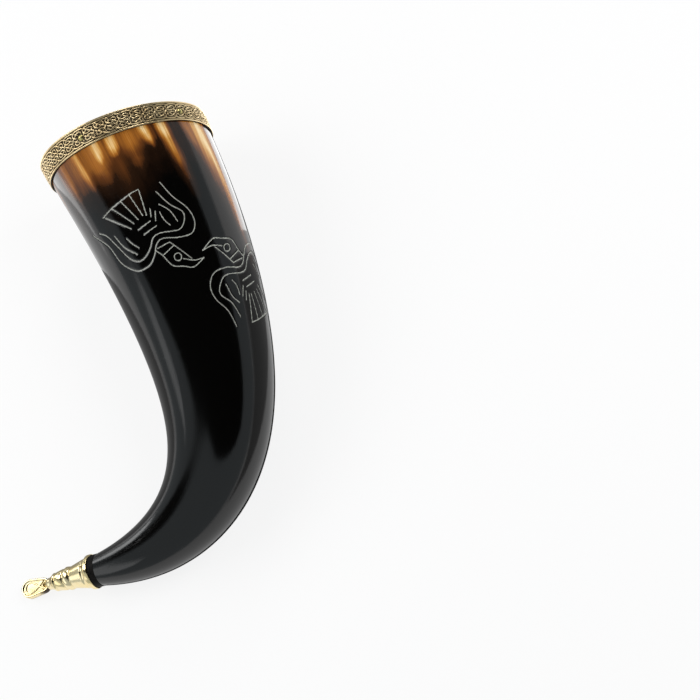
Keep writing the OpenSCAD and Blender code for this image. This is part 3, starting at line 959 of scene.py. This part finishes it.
FLOOR_HALF = 3.0
TENT_R = 0.75
TENT_SIDES = 48
TENT_LOW = 0.30
TENT_RISE = 1.6
TENT_FRONT = math.radians(-130)
ROOM_R = 0.85
SHADE_HEIGHT = 0.0004
SHADE_MARGIN = 4.0
RIGHT_CARD = ((0.088, -0.30), (0.50, 0.020))
LEFT_CARD = ((-0.35, -0.06), (0.005, 0.055))
ROOM_TOP = 2.0
FLOOR_GLOW = 0.85
WORLD_LIGHT = 0.35
SHADE_POINTS = 60
SHADE_GREY = 0.03
CARD_GREY = 0.30

# Softboxes: place, aim and size in metres, power in watts, and whether reflections show them
SOFTBOXES = {
    "fill_left": ((-0.55, 0.15, 0.62), (0.0, 0.0, 0.03), (0.45, 0.6), 3.4, False),
    "fill_right": ((0.62, -0.1, 0.45), (0.03, 0.0, 0.03), (0.35, 0.7), 4.0, False),
    "key_behind": ((-0.48, 0.56, 0.62), (-0.02, 0.0, 0.03), (0.46, 0.50), 3.4, True),
    "glint_left": ((-0.44, 0.55, 0.18), (0.0, 0.06, 0.03), (0.20, 0.22), 0.4, True),
    "glint_behind": ((0.34, 0.62, 0.38), (0.04, 0.08, 0.04), (0.32, 0.34), 2.2, True),
    "panel_tip": ((-0.655, -0.134, 0.270), (-0.055, -0.07, 0.015), (0.60, 0.24), 0.42, True),
    "card_right": ((0.099, 0.070, 0.002), (0.099, 0.070, 1.0), (0.022, 0.075), 0.009, True),
    "card_left": ((-0.115, 0.126, 0.002), (-0.115, 0.126, 1.0), (0.17, 0.042), 0.034, True),
}


def staged(name, points, faces, finish, to_camera=True):
    mesh = bpy.data.meshes.new(name)
    mesh.from_pydata(points, [], faces)
    mesh.materials.append(finish)
    made = bpy.data.objects.new(name, mesh)
    made.visible_camera = to_camera
    bpy.context.scene.collection.objects.link(made)
    return made


def seen_directly(finish):
    """1 for rays from the camera, a mirror or glass, and 0 for light that falls on a surface."""
    path = finish.node("LightPath").socket.node
    camera, glossy, through = (
        Value(finish, path.outputs[name])
        for name in ("Is Camera Ray", "Is Glossy Ray", "Is Transmission Ray")
    )
    return finish.math("MAXIMUM", camera, finish.math("MAXIMUM", glossy, through))


def floor_finish():
    finish = Finish(bpy.data.materials.new("white_floor"))
    paper = finish.node("BsdfDiffuse", sockets={"Color": rgba(0.80, 0.80, 0.80)})
    white = finish.node("Emission", sockets={"Color": rgba(1.0, 1.0, 1.0), "Strength": 1.0})
    share = seen_directly(finish) * FLOOR_GLOW
    finish.close(finish.node("MixShader", sockets={0: share, 1: paper, 2: white}))
    return finish.owner


def glowing_finish(name, *colour):
    finish = Finish(bpy.data.materials.new(name))
    finish.close(finish.node("Emission", sockets={"Color": rgba(*colour), "Strength": 1.0}))
    return finish.owner


def white_world():
    finish = Finish(bpy.data.worlds.new("studio"))
    strength = WORLD_LIGHT + (1 - WORLD_LIGHT) * seen_directly(finish)
    finish.close(finish.node("Background", sockets={"Color": rgba(1.0, 1.0, 1.0), "Strength": strength}))
    bpy.context.scene.world = finish.owner


def floor():
    corners = [(-FLOOR_HALF, -FLOOR_HALF, 0), (FLOOR_HALF, -FLOOR_HALF, 0),
               (FLOOR_HALF, FLOOR_HALF, 0), (-FLOOR_HALF, FLOOR_HALF, 0)]
    staged("floor", corners, [(0, 1, 2, 3)], floor_finish())


def tent_top(turn):
    """Height of the lit cloth: high in front of the object, low behind it and to its right."""
    return TENT_LOW + TENT_RISE * max(0.0, math.cos(turn - TENT_FRONT)) ** 2


def tent():
    """A round wall of lit cloth in a dark room, seen only as reflections."""
    turns = np.linspace(0, 2 * math.pi, TENT_SIDES, endpoint=False).tolist()

    def ring(r, height_at):
        return [(r * math.cos(a), r * math.sin(a), height_at(a)) for a in turns]

    def wall(name, r, height_at, finish):
        points = ring(r, lambda a: 0.0) + ring(r, height_at)
        after = [(i + 1) % TENT_SIDES for i in range(TENT_SIDES)]
        faces = [(i, k, TENT_SIDES + k, TENT_SIDES + i) for i, k in enumerate(after)]
        staged(name, points, faces, finish, to_camera=False)

    dark = glowing_finish("dark_room", 0.004, 0.004, 0.004)
    wall("tent_wall", TENT_R, tent_top, glowing_finish("tent_cloth", 0.43, 0.47, 0.49))
    wall("room_wall", ROOM_R, lambda a: ROOM_TOP, dark)
    ceiling = ring(ROOM_R, lambda a: ROOM_TOP)
    staged("room_ceiling", ceiling, [tuple(range(TENT_SIDES))], dark, to_camera=False)


def shade_under():
    """The shade below the horn's round sides, which their reflections show right beside the outline."""
    s = np.linspace(0, HORN_LENGTH, SHADE_POINTS)
    r = outer_r(s)[:, None] + SHADE_MARGIN
    left = in_row(centre(s) - r * side_way(s))
    right = in_row(centre(s) + r * side_way(s))
    points = np.vstack([left, right])
    points[:, 2] = SHADE_HEIGHT
    faces = [(i, i + 1, len(s) + i + 1, len(s) + i) for i in range(len(s) - 1)]
    reflected_card("shade_under", points.tolist(), faces, SHADE_GREY)


def card_beside(name, corners):
    """A grey card on the floor beside the horn, which glows at a fixed grey and is seen only in reflections:
    a painted reflection.
    """
    (x_low, y_low), (x_high, y_high) = corners
    points = [(x_low, y_low, SHADE_HEIGHT), (x_high, y_low, SHADE_HEIGHT),
              (x_high, y_high, SHADE_HEIGHT), (x_low, y_high, SHADE_HEIGHT)]
    reflected_card(name, points, [(0, 1, 2, 3)], CARD_GREY)


def reflected_card(name, points, faces, brightness):
    # A glowing sheet seen only in reflections, which paints its fixed grey into them
    glow = glowing_finish(name, brightness, brightness, brightness)
    card = staged(name, points, faces, glow, to_camera=False)
    card.visible_diffuse = False
    card.visible_shadow = False


def softbox(name, place, target, size, power, in_reflections):
    light = bpy.data.lights.new(name, "AREA")
    light.shape = "RECTANGLE"
    light.size, light.size_y = size
    light.energy = power
    lamp = bpy.data.objects.new(name, light)
    lamp.location = place
    lamp.rotation_euler = (Vector(target) - Vector(place)).to_track_quat("-Z", "Y").to_euler()
    lamp.visible_camera = False
    lamp.visible_glossy = in_reflections
    bpy.context.scene.collection.objects.link(lamp)


# Camera of the photograph
CAMERA_AZIMUTH = 13.44
CAMERA_ELEVATION = 69.34
CAMERA_ROLL = -41.98
CAMERA_AIM = (0.09411, -0.04928, 0.030)
CAMERA_DISTANCE = 0.9605
CAMERA_LENS = 116.6


def camera():
    lens = bpy.data.cameras.new("camera")
    lens.lens = CAMERA_LENS
    made = bpy.data.objects.new("camera", lens)
    turn = (
        Matrix.Rotation(math.radians(CAMERA_AZIMUTH), 4, "Z")
        @ Matrix.Rotation(math.radians(90 - CAMERA_ELEVATION), 4, "X")
        @ Matrix.Rotation(math.radians(CAMERA_ROLL), 4, "Z")
    )
    aim = Vector(CAMERA_AIM)
    made.matrix_world = Matrix.Translation(aim + turn @ Vector((0, 0, CAMERA_DISTANCE))) @ turn
    bpy.context.scene.collection.objects.link(made)
    bpy.context.scene.camera = made


white_world()
floor()
tent()
shade_under()
card_beside("grey_card_right", RIGHT_CARD)
card_beside("grey_card_left", LEFT_CARD)
for box, settings in SOFTBOXES.items():
    softbox(box, *settings)
camera()

bpy.context.scene.view_settings.view_transform = "Standard"
